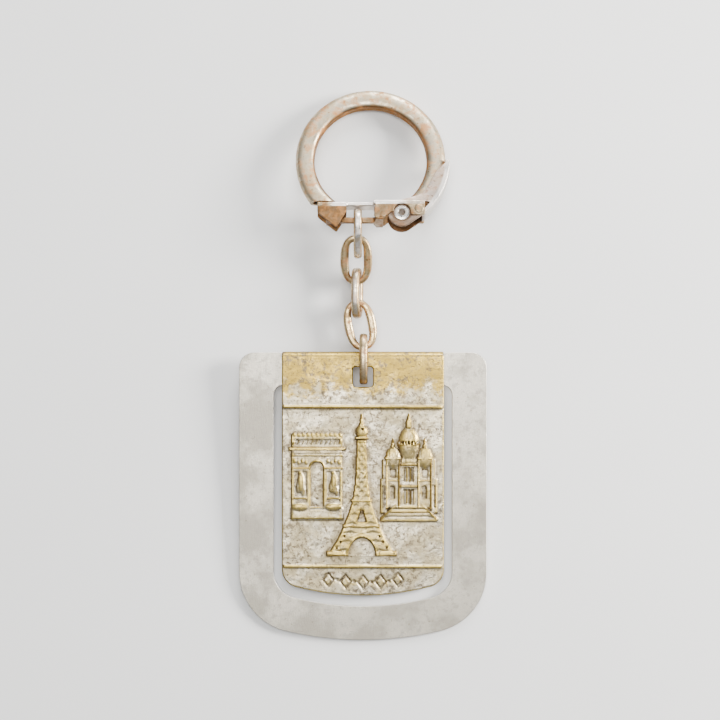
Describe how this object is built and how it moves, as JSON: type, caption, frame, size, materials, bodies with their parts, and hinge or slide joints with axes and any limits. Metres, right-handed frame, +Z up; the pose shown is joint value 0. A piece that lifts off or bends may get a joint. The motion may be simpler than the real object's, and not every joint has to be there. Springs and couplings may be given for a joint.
{
  "type": "souvenir keychain",
  "caption": "Embossed brass plaque folded over a steel spring frame, on a short oval-link chain with a round key ring closed by a hinged lever catch.",
  "frame": {"origin": "middle of the whole keychain on the table it lies on, under its bounding box centre", "axes": "+Y along the length from the plaque towards the key ring, +X to the right of the plaque's face, +Z up, the way the plaque's face looks"},
  "size_m": [0.0412, 0.0921, 0.0088],
  "materials": {
    "satin_steel": "satin sheet steel with fine mottling",
    "worn_brass": "worn silvering over brass, dark in the recesses",
    "chain_steel": "tarnished steel with brown rust",
    "ring_nickel": "worn nickel plating with rust spots",
    "lever_nickel": "worn nickel plating with rust at the edges",
    "gate_steel": "rusty plated sheet",
    "eyelet_nickel": "bright nickel"
  },
  "bodies": {
    "plate": {"plaque": "worn_brass", "frame_band": "satin_steel"},
    "clip_loop": {"frame_loop": "satin_steel"},
    "link_5": {"chain_link_5": "chain_steel"},
    "link_4": {"chain_link_4": "chain_steel"},
    "link_3": {"chain_link_3": "chain_steel"},
    "link_2": {"chain_link_2": "chain_steel"},
    "link_1": {"chain_link_1": "chain_steel"},
    "gate": {"gate_bar": "gate_steel"},
    "catch_lever": {"lever": "lever_nickel", "hinge_eyelet": "eyelet_nickel", "gate_rivets": "eyelet_nickel"},
    "ring": {"ring_bow": "ring_nickel"}
  },
  "joints": [
    {"name": "loop_flex", "type": "hinge", "parent": "plate", "child": "clip_loop", "pos_m": [0, -0.00554, 0.00226], "axis": [1, 0, 0], "range_deg": [0, 7], "stiffness_Nm_per_rad": 0.3},
    {"name": "link_5_swing", "type": "hinge", "parent": "plate", "child": "link_5", "pos_m": [0.0001, -0.00057, 0.00284], "axis": [0, -0.0558, 0.9984], "range_deg": [-8, 5]},
    {"name": "link_4_fold", "type": "hinge", "parent": "link_5", "child": "link_4", "pos_m": [0.00024, 0.00284, 0.0029], "axis": [0.9816, 0.1908, 0], "range_deg": [-30, 50]},
    {"name": "link_3_swing", "type": "hinge", "parent": "link_4", "child": "link_3", "pos_m": [-0.00095, 0.00813, 0.0028], "axis": [-0.1564, 0, 0.9877], "range_deg": [-45, 45]},
    {"name": "link_2_fold", "type": "hinge", "parent": "link_3", "child": "link_2", "pos_m": [-0.0011, 0.0138, 0.00285], "axis": [1, 0, 0], "range_deg": [-30, 50]},
    {"name": "link_1_swing", "type": "hinge", "parent": "link_2", "child": "link_1", "pos_m": [-0.00085, 0.0182, 0.00383], "axis": [0, -0.4384, 0.8988], "range_deg": [-40, 40]},
    {"name": "gate_fold", "type": "hinge", "parent": "link_1", "child": "gate", "pos_m": [-0.00085, 0.02283, 0.00606], "axis": [1, 0, 0], "range_deg": [-35, 40]},
    {"name": "lever_turn", "type": "hinge", "parent": "gate", "child": "catch_lever", "pos_m": [0.00928, 0.02488, 0.00585], "axis": [0, 0.225, 0.9744], "range_deg": [-110, 0]},
    {"name": "ring_open", "type": "hinge", "parent": "catch_lever", "child": "ring", "pos_m": [0.00645, 0.0244, 0.00596], "axis": [0, 0.225, 0.9744], "range_deg": [0, 75]}
  ],
  "couplings": [
    {"joint": "lever_turn", "follows": "ring_open", "ratio": -1.46}
  ]
}
